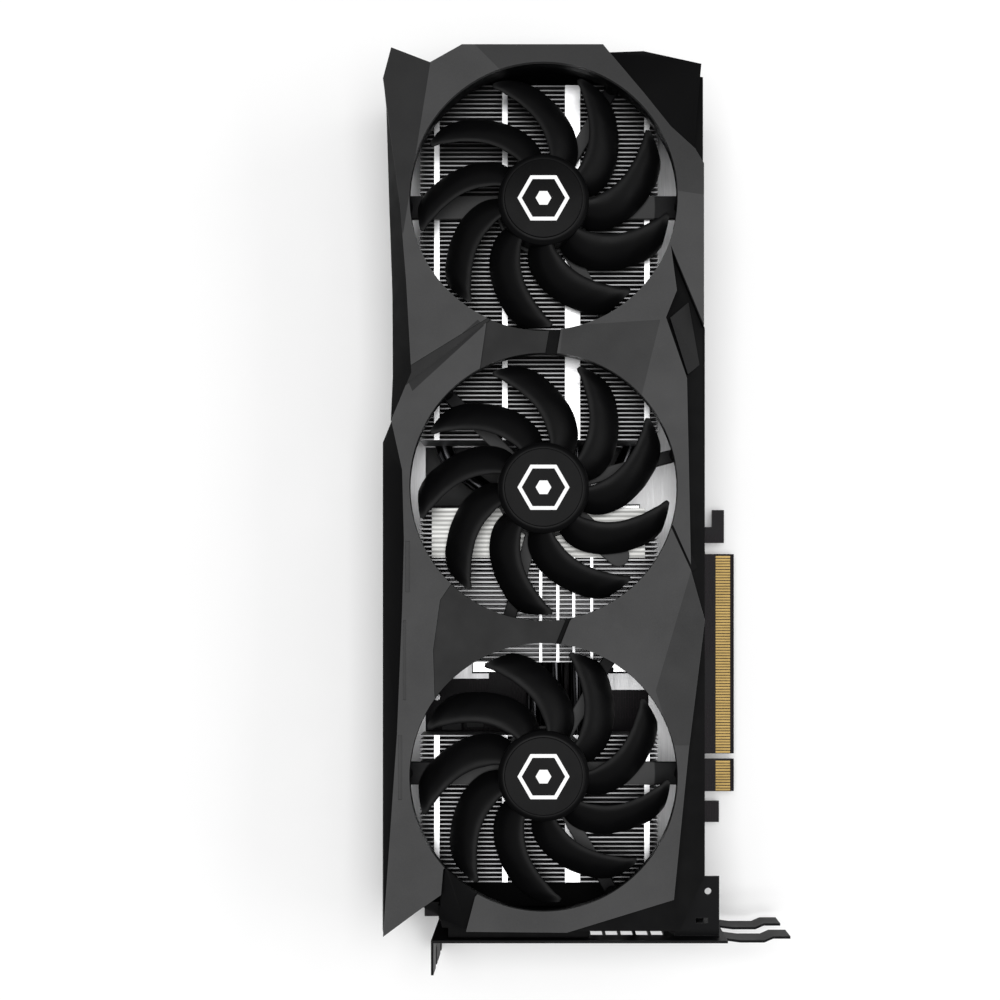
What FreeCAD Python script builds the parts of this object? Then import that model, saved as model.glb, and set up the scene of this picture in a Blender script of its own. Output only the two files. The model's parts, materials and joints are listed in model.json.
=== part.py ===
import FreeCAD, Part
import math
import os

# Triple-fan graphics card, millimetres.
# Origin: centre of the key notch, at the finger tips, on the board's middle plane.
# +X runs from the bracket to the tail, +Y from the fingers to the top edge, +Z towards the fans.

# ---------------------------------------------------------------- driving dimensions
BOARD_T = 1.57
BOARD_TOP = BOARD_T / 2
BOARD_BOTTOM = -BOARD_T / 2
BOARD_X = (-57.5, 90.0)
BOARD_Y = (10.8, 111.15)
FINGER_SHORT = 11.65
KEY_GAP = 1.9
FINGER_LONG = 71.65
CONTACT_PITCH = 1.0
CONTACT_W = 0.7
CONTACT_T = 0.05
CONTACT_Y = (1.4, 6.6)
CONTACT_INSET = 0.6
LEAD_IN = 0.8

BACKPLATE_T = 1.2
BACKPLATE_GAP = 2.8
BACK_TOP = BOARD_BOTTOM - BACKPLATE_GAP
REST_Z = BACK_TOP - BACKPLATE_T

BRACKET_X = -59.2
BRACKET_T = 0.86
BRACKET_Z = (BOARD_BOTTOM - 1.9, BOARD_BOTTOM + 36.84)
BRACKET_Y = (6.8, 106.0)
SLOT_PITCH = 20.32
SLOT_W = 18.42
TONGUE_W = 10.19
TONGUE_END_Y = -14.8
TAB_L = 10.7

FRONT_Z = 43.2
DECK_Z = 41.4
LEDGE_Z = 38.4
BELT_Z = 33.0
BODY_LOW_Z = BOARD_TOP + 0.6
WALL = 2.2
TAIL_X = 238.1
BODY_END_X = -54.6
BODY_Y = (14.8, 122.1)

FAN_Y = 68.4
FAN_PITCH = 95.6
FAN_MIDDLE_X = 92.6
FANS = {"tail": FAN_MIDDLE_X + FAN_PITCH, "middle": FAN_MIDDLE_X, "bracket": FAN_MIDDLE_X - FAN_PITCH}
FAN_PHASE = {"tail": 17.0, "middle": 17.0, "bracket": 21.0}
ARM_ANGLES = {"tail": (90, -90, -30, -150), "middle": (-75, 45, 165), "bracket": (90, -90, -30, -150)}
OPENING_R = 44.15
LIP_R = 46.2
RING_CLEAR_R = 45.7
RING_LOW_Z = 38.5
ROTOR_R = 42.1
HUB_R = 15.2
BLADES = 9
BLADE_SWEEP = 41.0
BLADE_T = 1.3
SHAFT_R = 1.5
RUNNING_CLEARANCE = 0.03
FRAME_Z = (28.6, 30.6)
WIRE_ANGLE = -131.0
WIRE_REACH = 33.5
WIRE_W = 7.5
ROTOR_Z = (31.4, 40.4)
CAP_T = 0.5

FIN_Z = (12.0, 28.0)
FIN_Y = (29.5, 110.4)
FIN_PITCH = 1.5
FIN_T = 0.4
TIE_T = 0.4
TIES = ((32.4, 34.2), (56.0, 61.1), (80.6, 82.4), (103.7, 105.5))
THIN_TIES = ((51.6, 52.5), (57.7, 58.6), (63.1, 64.0), (68.9, 69.8))
TOP_SHEET = ((70.0, 86.8), (34.0, 106.3))
PLATE_Y = (19.4, 116.5)
STACKS = {"tail": (109.9, 231.2), "middle": (34.5, 86.8), "bracket": (-40.2, 9.7)}
PIPE_R = 3.0
PIPE_Z = 9.0
PIPE_BEND_R = 14.0
PLATE_Z = (2.985, 4.485)
GPU = (60.0, 64.0)
COLD_PLATE_Z = (2.9, 6.0)
CHIP_TOP = 1.985
ARM_REACH = 46.5

STANDOFFS_BOARD = [(-48.0, 30.0), (-48.0, 105.0), (16.0, 24.0), (84.0, 20.0), (21.3, 106.6)]
STANDOFFS_TAIL = [(106.0, 20.5), (106.0, 114.5), (226.0, 22.0), (226.0, 113.0)]
CLAMP_REACH = 25.0
CLAMP_SCREWS = [(GPU[0] + sx * CLAMP_REACH, GPU[1] + sy * CLAMP_REACH) for sx in (-1, 1) for sy in (-1, 1)]
BRACKET_FEET = [(-52.5, 14.6), (-52.5, 101.0)]
SCREW_R = 1.2
SCREW_HOLE_R = 1.3
SCREW_TIP_Z = 2.2
SHORT_TIP_Z = 0.6
BRACKET_HOLE_R = 1.25
MEMORY = [(x, y) for x in (44.0, 60.0, 76.0) for y in (30.5, 97.0)]
PACKAGE_TOP = 2.1

POWER_SOCKET = {"a": 36.0, "b": 58.0}
SOCKET_BAY_X = (24.4, 69.6)
POWER_SOCKET_W = 19.2
POWER_SOCKET_Y = (103.0, 118.0)
POWER_SOCKET_Z = (BOARD_TOP, BOARD_TOP + 9.8)
CELL = 3.5
CELL_PITCH = 4.2
PIN_HALF = 0.5
DISPLAY_Y = {"hdmi": 27.0, "display_a": 48.0, "display_b": 68.0, "display_c": 88.0}
DISPLAY_Z = (BOARD_TOP + 0.2, BOARD_TOP + 6.2)

FOOT_Z = (27.9, 28.76)
FOOT_HOLE = (-43.2, 12.6)
FOOT_HOLE_R = 1.15
NOTCH_R = 2.2
NOTCH_L = 5.3
VENT_Z = (13.5, 27.0)
VENT_PITCH = 5.17
VENT_L = 4.1
WINDOW_Z = (8.0, 24.0)
WINDOW_L = 9.0
WINDOW_PITCH = 14.0
WINDOW_LEAN = 3.0


# ---------------------------------------------------------------- helpers
def save(name, shape):
    shape.exportStep("parts/" + name + ".step")


def box(x, y, z):
    return Part.makeBox(x[1] - x[0], y[1] - y[0], z[1] - z[0], FreeCAD.Vector(x[0], y[0], z[0]))


def block(centre, size, z):
    half_x, half_y = size[0] / 2, size[1] / 2
    return box((centre[0] - half_x, centre[0] + half_x), (centre[1] - half_y, centre[1] + half_y), z)


def post(centre, radius, z):
    return Part.makeCylinder(radius, z[1] - z[0], FreeCAD.Vector(centre[0], centre[1], z[0]))


def tube(centre, outer, inner, z):
    return post(centre, outer, z).cut(post(centre, inner, (z[0] - 1, z[1] + 1)))


def outline_face(points, z):
    corners = [FreeCAD.Vector(x, y, z) for x, y in points]
    return Part.Face(Part.makePolygon(corners + corners[:1]))


def prism(points, z):
    return outline_face(points, z[0]).extrude(FreeCAD.Vector(0, 0, z[1] - z[0]))


def slanted(points, base):
    """A column over three corners, each corner given with its own height."""
    top = [FreeCAD.Vector(*p) for p in points]
    low = [FreeCAD.Vector(p[0], p[1], base) for p in points]
    faces = [Part.Face(Part.makePolygon(low + low[:1])), Part.Face(Part.makePolygon(top + top[:1]))]
    for i in range(len(points)):
        j = (i + 1) % len(points)
        faces.append(Part.Face(Part.makePolygon([low[i], low[j], top[j], top[i], low[i]])))
    return Part.Solid(Part.Shell(faces))


def facet_strip(inner, outer, base):
    """Sloping facets between an upper and a lower edge line with equally many corners."""
    columns = []
    for i in range(len(inner) - 1):
        columns.append(slanted([inner[i], inner[i + 1], outer[i]], base))
        columns.append(slanted([inner[i + 1], outer[i + 1], outer[i]], base))
    return columns


def fuse(shapes):
    joined = shapes[0].multiFuse(shapes[1:]) if len(shapes) > 1 else shapes[0]
    return joined.removeSplitter()


def cut(shape, tools):
    return shape.cut(Part.makeCompound(tools)).removeSplitter()


def at_height(points, z):
    return [(x, y, z) for x, y in points]


def fan_bores(radius, z):
    return [post((x, FAN_Y), radius, z) for x in FANS.values()]


def polar(centre, radius, degrees):
    angle = math.radians(degrees)
    return centre[0] + radius * math.cos(angle), centre[1] + radius * math.sin(angle)


# ---------------------------------------------------------------- outlines of the front
RIGHT_EDGE = [(172.0, 26.5), (157.2, 24.5), (148.3, 28.1), (128.3, 21.2), (66.8, 19.9)]
LEFT_EDGE = [(114.5, 118.5), (98.1, 114.9), (75.0, 114.3), (52.0, 114.9), (10.9, 116.6), (-55.5, 121.2)]
LEFT_TAIL_EDGE = [(226.9, 121.2), (185.2, 115.6), (160.5, 113.6), (130.3, 111.9), (114.5, 118.5)]
TAIL_EDGE = [(237.1, 118.5), (232.2, 105.7), (238.1, 95.2), (238.1, 48.8), (236.1, 47.2), (221.7, 35.0),
             (211.1, 26.5), (203.9, 18.6), (199.0, 15.6), (145.7, 15.6)]
LOWER_EDGE = [(48.7, 15.3), (6.0, 20.6), (-43.3, 25.5), (-54.1, 60.7), (-53.8, 93.9), (-42.3, 90.9)]
WING_EDGE = [(-47.2, 110.0), (-41.7, 102.1), (-33.4, 101.4)]

UPPER_FASCIA = (TAIL_EDGE + RIGHT_EDGE + [(80.0, 25.8), (80.0, 50.0), (68.0, 90.0), (60.2, 99.1),
                (55.3, 102.4), (38.9, 104.7), (23.4, 104.2), (10.0, 90.0), (-20.0, 90.0)]
                + WING_EDGE[::-1] + LEFT_EDGE[::-1] + LEFT_TAIL_EDGE[::-1][1:])
LOWER_FASCIA = [(48.4, 59.7), (60.0, 50.0), (79.0, 26.3), (65.4, 20.0)] + LOWER_EDGE + [(-30.0, 80.0),
                (30.0, 66.0), (41.8, 62.3)]
INLAY_TAIL = [(148.5, 86.9), (150.0, 72.0), (146.0, 66.2), (134.0, 68.3), (128.0, 75.0), (131.6, 89.3)]
INLAY_MIDDLE = [(60.2, 99.1), (55.3, 102.4), (38.9, 104.7), (23.4, 104.2), (15.0, 90.0), (30.0, 68.0),
                (41.8, 64.0), (48.4, 61.3), (60.0, 66.0), (66.0, 90.0)]
STRIPE = [(149.5, 84.5), (147.5, 86.0), (126.0, 113.6), (131.6, 113.6)]
NOTCH_TAIL = [(146.0, 66.2), (146.0, 62.4), (134.0, 64.4), (134.0, 68.3)]
EDGE_POCKETS = [((57.9, 74.7), (112.3, 113.8)), ((22.4, 48.7), (113.6, 114.6)),
                ((-10.4, 10.9), (114.9, 116.2))]
TAIL_APEX = (233.0, 16.1, 39.8)
BODY_OUTLINE = [(235.6, 117.6), (230.9, 104.9), (TAIL_X - 0.6, 94.2), (TAIL_X - 0.6, 47.8), (235.2, 36.7),
                (231.2, BODY_Y[0]), (-36.1, BODY_Y[0]), (BODY_END_X, 23.0), (BODY_END_X, 102.5),
                (-50.5, 103.4), (-47.2, 110.0), (-55.3, 121.0), (-53.2, BODY_Y[1]), (107.9, BODY_Y[1]),
                (114.5, 118.9), (157.2, 119.2), (227.6, 121.2)]
CAVITY_OUTLINE = [(232.6, 116.4), (228.4, 104.9), (TAIL_X - 3.6, 93.6), (TAIL_X - 3.6, 48.4), (232.7, 37.0),
                  (229.0, BODY_Y[0] + WALL), (-35.6, BODY_Y[0] + WALL), (-52.0, 24.6), (-52.0, 100.6),
                  (-48.6, 101.4), (-44.7, 110.4), (-51.6, 119.6), (107.2, BODY_Y[1] - WALL), (113.8, 116.7),
                  (226.8, 118.6)]


# ---------------------------------------------------------------- board and electronics
def make_board():
    short = (-KEY_GAP / 2 - FINGER_SHORT, -KEY_GAP / 2)
    long = (KEY_GAP / 2, KEY_GAP / 2 + FINGER_LONG)
    level = (BOARD_BOTTOM, BOARD_TOP)
    hook = [(76.6, 11.0), (76.6, 3.6), (88.4, 3.6), (88.4, 7.9), (82.3, 7.9), (82.3, 11.0)]
    pieces = [box(BOARD_X, BOARD_Y, level), box(short, (0, BOARD_Y[0] + 0.2), level),
              box(long, (0, BOARD_Y[0] + 0.2), level), prism(hook, level),
              box((-23.7, -16.1), (5.4, BOARD_Y[0] + 0.2), level)]
    board = fuse(pieces)
    lead_in = [FreeCAD.Vector(-15, -1, BOARD_TOP), FreeCAD.Vector(-15, 1.3, BOARD_TOP),
               FreeCAD.Vector(-15, -1, BOARD_TOP - LEAD_IN)]
    upper = Part.Face(Part.makePolygon(lead_in + lead_in[:1])).extrude(FreeCAD.Vector(90, 0, 0))
    lower = upper.mirror(FreeCAD.Vector(0, 0, 0), FreeCAD.Vector(0, 0, 1))
    holes = [post(p, SCREW_HOLE_R, (BOARD_BOTTOM - 1, BOARD_TOP + 1)) for p in STANDOFFS_BOARD + CLAMP_SCREWS]
    holes += [post(p, BRACKET_HOLE_R, (BOARD_BOTTOM - 1, BOARD_TOP + 1)) for p in BRACKET_FEET]
    save("circuit_board", cut(board, [upper, lower] + holes))


def make_contacts():
    first = -KEY_GAP / 2 - FINGER_SHORT + CONTACT_INSET
    centres = [first + i * CONTACT_PITCH for i in range(11)]
    centres += [KEY_GAP / 2 + CONTACT_INSET + i * CONTACT_PITCH for i in range(71)]
    sides = {"front": (BOARD_TOP, BOARD_TOP + CONTACT_T), "back": (BOARD_BOTTOM - CONTACT_T, BOARD_BOTTOM)}
    for side, level in sides.items():
        pads = [box((x - CONTACT_W / 2, x + CONTACT_W / 2), CONTACT_Y, level) for x in centres]
        save("edge_contacts_" + side, Part.makeCompound(pads))


def make_processor():
    save("processor_package", block(GPU, (34, 34), (BOARD_TOP, PACKAGE_TOP)))
    save("processor_die", block(GPU, (24, 16), (PACKAGE_TOP, COLD_PLATE_Z[0])))
    chips = [block(p, (14, 11), (BOARD_TOP, CHIP_TOP)) for p in MEMORY]
    pads = [block(p, (11, 7), (CHIP_TOP, PLATE_Z[0])) for p in MEMORY]
    save("memory_chips", Part.makeCompound(chips))
    save("thermal_pads", Part.makeCompound(pads))


def make_power_stage():
    chokes = []
    transistors = []
    for i in range(6):
        x = -29.0 + i * 8.4
        body = block((x, 101.0), (7.2, 7.2), (BOARD_TOP, 5.6))
        chokes.append(body.makeChamfer(0.5, body.Edges))
        transistors.append(block((x, 93.0), (5.0, 6.0), (BOARD_TOP, 1.7)))
    cans = [post((-36.0, 36.0 + i * 7.6), 3.2, (BOARD_TOP, 5.8)) for i in range(7)]
    save("power_chokes", Part.makeCompound(chokes))
    save("power_transistors", Part.makeCompound(transistors))
    save("capacitors", Part.makeCompound([can.makeFillet(0.4, [can.Edges[0]]) for can in cans]))


# ---------------------------------------------------------------- sockets
def socket_cells(x):
    middle = sum(POWER_SOCKET_Z) / 2
    return [(x + (column - 1.5) * CELL_PITCH, middle + (row - 0.5) * CELL_PITCH)
            for row in range(2) for column in range(4)]


def square_pin(centre, y):
    return box((centre[0] - PIN_HALF, centre[0] + PIN_HALF), y, (centre[1] - PIN_HALF, centre[1] + PIN_HALF))


def make_power_sockets():
    pins = []
    for name, x in POWER_SOCKET.items():
        shell = block((x, sum(POWER_SOCKET_Y) / 2), (POWER_SOCKET_W, POWER_SOCKET_Y[1] - POWER_SOCKET_Y[0]),
                      POWER_SOCKET_Z)
        latch = box((x - 3, x + 3), (111.0, POWER_SOCKET_Y[1]), (POWER_SOCKET_Z[1], POWER_SOCKET_Z[1] + 1.2))
        centres = socket_cells(x)
        cells = [box((cx - CELL / 2, cx + CELL / 2), (POWER_SOCKET_Y[0] + 3.5, 120),
                     (cz - CELL / 2, cz + CELL / 2))
                 for cx, cz in centres]
        pin_holes = [square_pin(centre, (POWER_SOCKET_Y[0] - 1, 110)) for centre in centres]
        save("power_socket_" + name, cut(fuse([shell, latch]), cells + pin_holes))
        pins += [square_pin(centre, (POWER_SOCKET_Y[0] - 0.6, 114)) for centre in centres]
    save("power_pins", Part.makeCompound(pins))


def socket_mouth(kind, y, margin, x):
    """Mouth of a display socket: one lower corner cut off, or both on an hdmi socket."""
    half = (7.1 if kind == "hdmi" else 8.1) + margin
    low = DISPLAY_Z[0] + 0.6 - margin
    high = DISPLAY_Z[1] - 0.6 + margin
    cut_off = 1.6
    corners = [(y - half, high), (y + half, high), (y + half, low + cut_off), (y + half - cut_off, low)]
    corners += [(y - half + cut_off, low), (y - half, low + cut_off)] if kind == "hdmi" else [(y - half, low)]
    points = [FreeCAD.Vector(x[0], a, b) for a, b in corners]
    return Part.Face(Part.makePolygon(points + points[:1])).extrude(FreeCAD.Vector(x[1] - x[0], 0, 0))


def make_display_sockets():
    tongues = []
    for name, y in DISPLAY_Y.items():
        kind = "hdmi" if name == "hdmi" else "display"
        shell = socket_mouth(kind, y, 0.5, (BRACKET_X - 0.3, -43.0))
        inside = socket_mouth(kind, y, 0.0, (BRACKET_X - 1.0, -44.0))
        save("video_socket_" + name, cut(shell, [inside]))
        reach = 5.2 if kind == "hdmi" else 6.4
        middle = (DISPLAY_Z[0] + DISPLAY_Z[1]) / 2
        tongue = box((-57.0, -44.0), (y - reach, y + reach), (middle - 0.5, middle + 0.5))
        rear = box((-46.0, -44.0), (y - reach, y + reach), (middle - 1.4, middle + 1.4))
        tongues.append(fuse([tongue, rear]))
    save("video_tongues", Part.makeCompound(tongues))


# ---------------------------------------------------------------- bracket
def bracket_tongue(z):
    outer = [(BRACKET_X, BRACKET_Y[0] + 0.5), (-59.9, 2.0), (-59.9, -6.0), (-58.6, -9.0),
             (-58.6, TONGUE_END_Y)]
    inner = [(x + BRACKET_T, y) for x, y in outer]
    return prism(outer + inner[::-1], z)


def make_bracket():
    inner_x = BRACKET_X + BRACKET_T
    plate = box((BRACKET_X, inner_x), BRACKET_Y, BRACKET_Z)
    tab = box((BRACKET_X - TAB_L, inner_x), (BRACKET_Y[1] - BRACKET_T, BRACKET_Y[1]), BRACKET_Z)
    pieces = [plate, tab]
    notches = []
    for slot in range(2):
        middle = BRACKET_Z[0] + SLOT_W / 2 + slot * SLOT_PITCH
        pieces.append(bracket_tongue((middle - TONGUE_W / 2, middle + TONGUE_W / 2)))
        notch_z = middle - 3.5
        notch_x = BRACKET_X - TAB_L + NOTCH_L
        notches.append(box((notch_x - 10, notch_x), (104, 107), (notch_z - NOTCH_R, notch_z + NOTCH_R)))
        notches.append(Part.makeCylinder(NOTCH_R, 3, FreeCAD.Vector(notch_x, 104, notch_z),
                                         FreeCAD.Vector(0, 1, 0)))
    gap_low = BRACKET_Z[0] + SLOT_W
    notches.append(box((BRACKET_X - TAB_L - 1, BRACKET_X - 1.5), (104, 107),
                       (gap_low, gap_low + SLOT_PITCH - SLOT_W)))
    pieces.append(box((inner_x - 0.1, -38.1), (8.8, 24.0), FOOT_Z))
    for x, y in BRACKET_FEET:
        pieces.append(box((inner_x - 0.1, x + 3.5), (y - 3.6, y + 3.6), (BOARD_TOP, BOARD_TOP + BRACKET_T)))
        notches.append(post((x, y), BRACKET_HOLE_R, (BOARD_TOP - 1, BOARD_TOP + 2)))
    notches.append(post(FOOT_HOLE, FOOT_HOLE_R, (FOOT_Z[0] - 1, FOOT_Z[1] + 1)))
    notches.append(box((-53.95, -52.25), (12.6, 16.8), (FOOT_Z[0] - 1, FOOT_Z[1] + 1)))
    for i in range(14):
        low = 27.57 + i * VENT_PITCH
        notches.append(box((BRACKET_X - 1, inner_x + 1), (low, low + VENT_L), VENT_Z))
    for name, y in DISPLAY_Y.items():
        kind = "hdmi" if name == "hdmi" else "display"
        notches.append(socket_mouth(kind, y, 0.7, (BRACKET_X - 1, inner_x + 1)))
    save("bracket", cut(fuse(pieces), notches))
    level = BOARD_TOP + BRACKET_T
    screws = [fuse([post(p, 2.3, (level, level + 1.3)), post(p, SCREW_R, (BOARD_BOTTOM, level + 0.2))])
              for p in BRACKET_FEET]
    save("bracket_screws", Part.makeCompound(screws))


# ---------------------------------------------------------------- backplate and clamp
def make_backplate():
    outline = [(235.0, 117.0), (230.0, 105.5), (236.5, 94.0), (236.5, 48.0), (230.0, 13.0), (90.0, 13.0),
               (74.0, 13.0), (72.0, 15.5), (-14.0, 15.5), (-16.0, 13.0), (-54.0, 13.0), (-56.0, 16.0),
               (-56.0, 108.0), (-50.0, 117.5), (108.0, 119.8), (114.0, 117.0)]
    plate = prism(outline, (REST_Z, BACK_TOP))
    holes = []
    for p in STANDOFFS_BOARD + STANDOFFS_TAIL:
        holes.append(post(p, SCREW_HOLE_R, (REST_Z - 1, BACK_TOP + 1)))
        holes.append(post(p, 2.7, (REST_Z - 1, REST_Z + 0.85)))
    for row in range(4):
        for column in range(6):
            x = 120.0 + column * 18.0
            y = 36.0 + row * 18.0
            slot = [(x, y), (x + 8.0, y), (x + 14.0, y + 11.0), (x + 6.0, y + 11.0)]
            holes.append(prism(slot, (REST_Z - 1, BACK_TOP + 1)))
    holes.append(block(GPU, (58.0, 58.0), (REST_Z - 1, BACK_TOP + 1)))
    save("backplate", cut(plate, holes))
    save("backplate_standoffs", Part.makeCompound(
        [tube(p, 2.4, SCREW_HOLE_R, (BACK_TOP, BOARD_BOTTOM)) for p in STANDOFFS_BOARD]
        + [tube(p, 2.8, SCREW_HOLE_R, (BACK_TOP, PLATE_Z[0])) for p in STANDOFFS_TAIL]))
    screws = []
    for p in STANDOFFS_BOARD + STANDOFFS_TAIL:
        tip = SCREW_TIP_Z if p[0] > 0 else SHORT_TIP_Z
        head = post(p, 2.5, (REST_Z + 0.1, REST_Z + 0.85))
        screws.append(fuse([head, post(p, SCREW_R, (REST_Z + 0.5, tip))]))
    save("backplate_screws", Part.makeCompound(screws))


def make_clamp():
    level = (BOARD_BOTTOM - 1.5, BOARD_BOTTOM - 0.6)
    arms = []
    for sign in (1, -1):
        arm = block((0, 0), (76, 7), level)
        arm.rotate(FreeCAD.Vector(0, 0, 0), FreeCAD.Vector(0, 0, 1), 45 * sign)
        arm.translate(FreeCAD.Vector(GPU[0], GPU[1], 0))
        arms.append(arm)
    pad = tube(GPU, 13.0, 7.0, level)
    window = post(GPU, 7.0, (level[0] - 1, level[1] + 1))
    holes = [post(p, SCREW_HOLE_R, (level[0] - 1, level[1] + 1)) for p in CLAMP_SCREWS]
    save("clamp_plate", cut(fuse(arms + [pad]), holes + [window]))
    thread = (level[0] - 0.5, COLD_PLATE_Z[1] - 0.8)
    screws = [fuse([post(p, 2.6, (level[0] - 1.3, level[0])), post(p, SCREW_R, thread)])
              for p in CLAMP_SCREWS]
    save("clamp_screws", Part.makeCompound(screws))


# ---------------------------------------------------------------- cooler
def make_cold_plate():
    body = block(GPU, (40, 44), COLD_PLATE_Z)
    ears = [block(p, (9, 9), COLD_PLATE_Z) for p in CLAMP_SCREWS]
    bars = [box((GPU[0] - 28, GPU[0] + 28), (y - 4.0, y + 4.0), COLD_PLATE_Z)
            for y in (GPU[1] - 20, GPU[1] + 20)]
    joined = fuse([body] + bars + ears)
    threads = [post(p, SCREW_R, (COLD_PLATE_Z[0] - 1, COLD_PLATE_Z[1] - 0.8)) for p in CLAMP_SCREWS]
    save("cold_plate", cut(joined, threads))


def make_base_plate():
    plate = box((-38.0, 227.0), PLATE_Y, PLATE_Z)
    hole_z = (PLATE_Z[0] - 1, PLATE_Z[1] + 1)
    windows = [box((29.8, 90.2), (39.8, 88.2), hole_z), box((29.8, 40.0), (34.0, 94.0), hole_z),
               box((80.0, 90.2), (34.0, 94.0), hole_z), box((6.0, 28.0), (46.0, 110.5), hole_z),
               box((6.0, 24.0), (31.0, 46.1), hole_z), box((27.9, 34.0), (46.0, 88.0), hole_z),
               box((-34.2, 6.1), (96.0, 107.0), hole_z), box((-50.0, -31.0), (31.5, 87.0), hole_z),
               box(SOCKET_BAY_X, (102.0, 118.0), hole_z), box((88.0, 110.5), (53.0, 110.5), hole_z),
               box((102.5, 110.5), (33.0, 53.1), hole_z),
               box((114.0, 164.0), (33.0, 107.0), hole_z), box((172.0, 222.0), (33.0, 107.0), hole_z)]
    save("base_plate", cut(plate, windows))


def bent_path(corners, radius):
    """Straight runs joined by tangent arcs, in one plane."""
    points = [FreeCAD.Vector(x, y, PIPE_Z) for x, y in corners]
    edges = []
    start = points[0]
    for before, corner, after in zip(points, points[1:], points[2:]):
        back = (before - corner).normalize()
        ahead = (after - corner).normalize()
        half_turn = (math.pi - back.getAngle(ahead)) / 2
        reach = radius * math.tan(half_turn)
        enter = corner + back * reach
        leave = corner + ahead * reach
        bisector = (back + ahead).normalize()
        centre = corner + bisector * (radius / math.cos(half_turn))
        middle = centre - bisector * radius
        edges.append(Part.LineSegment(start, enter).toShape())
        edges.append(Part.Arc(enter, middle, leave).toShape())
        start = leave
    edges.append(Part.LineSegment(start, points[-1]).toShape())
    return Part.Wire(edges)


def make_heat_pipes():
    straight = [[(-37.0, y), (226.0, y)] for y in (56.5, 64.0, 71.5)]
    to_top = [(36.0, 79.5), (88.0, 79.5), (106.0, 104.0), (226.0, 104.0)]
    to_fingers = [(36.0, 48.5), (84.0, 48.5), (112.0, 36.5), (226.0, 36.5)]
    pipes = []
    for route in straight + [to_top, to_fingers]:
        path = bent_path(route, PIPE_BEND_R)
        ahead = FreeCAD.Vector(1, 0, 0)
        start = FreeCAD.Vector(route[0][0], route[0][1], PIPE_Z)
        ring = Part.Wire(Part.makeCircle(PIPE_R, start, ahead))
        pipes.append(path.makePipeShell([ring], True, False))
    save("heat_pipes", Part.makeCompound(pipes))


def make_fins():
    for name, (low, high) in STACKS.items():
        count = int((high - low - FIN_T) / FIN_PITCH) + 1
        fins = [box((low + i * FIN_PITCH, low + i * FIN_PITCH + FIN_T), FIN_Y, (FIN_Z[0], FIN_Z[1] + 0.1))
                for i in range(count)]
        end = low + (count - 1) * FIN_PITCH + FIN_T
        tops = [((low, end), tie) for tie in (THIN_TIES if name == "middle" else TIES)]
        if name == "middle":
            tops.append(TOP_SHEET)
        ties = [box(x, y, (FIN_Z[1], FIN_Z[1] + TIE_T)) for x, y in tops]
        floor = box((low, end), FIN_Y, (FIN_Z[0], FIN_Z[0] + TIE_T))
        stack = fuse([floor] + fins + ties)
        relief = box((226.6, 240.0), (101.4, 112.0), (FIN_Z[0] - 1, FIN_Z[1] + 1))
        save("fin_stack_" + name, stack.cut(relief))


# ---------------------------------------------------------------- shroud
def side_window(x, y):
    """Leaning window through a long side wall."""
    low, high = WINDOW_Z
    corners = [(x, low), (x + WINDOW_L, low), (x + WINDOW_L + WINDOW_LEAN, high), (x + WINDOW_LEAN, high)]
    points = [FreeCAD.Vector(a, y[0], b) for a, b in corners]
    return Part.Face(Part.makePolygon(points + points[:1])).extrude(FreeCAD.Vector(0, y[1] - y[0], 0))


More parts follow.
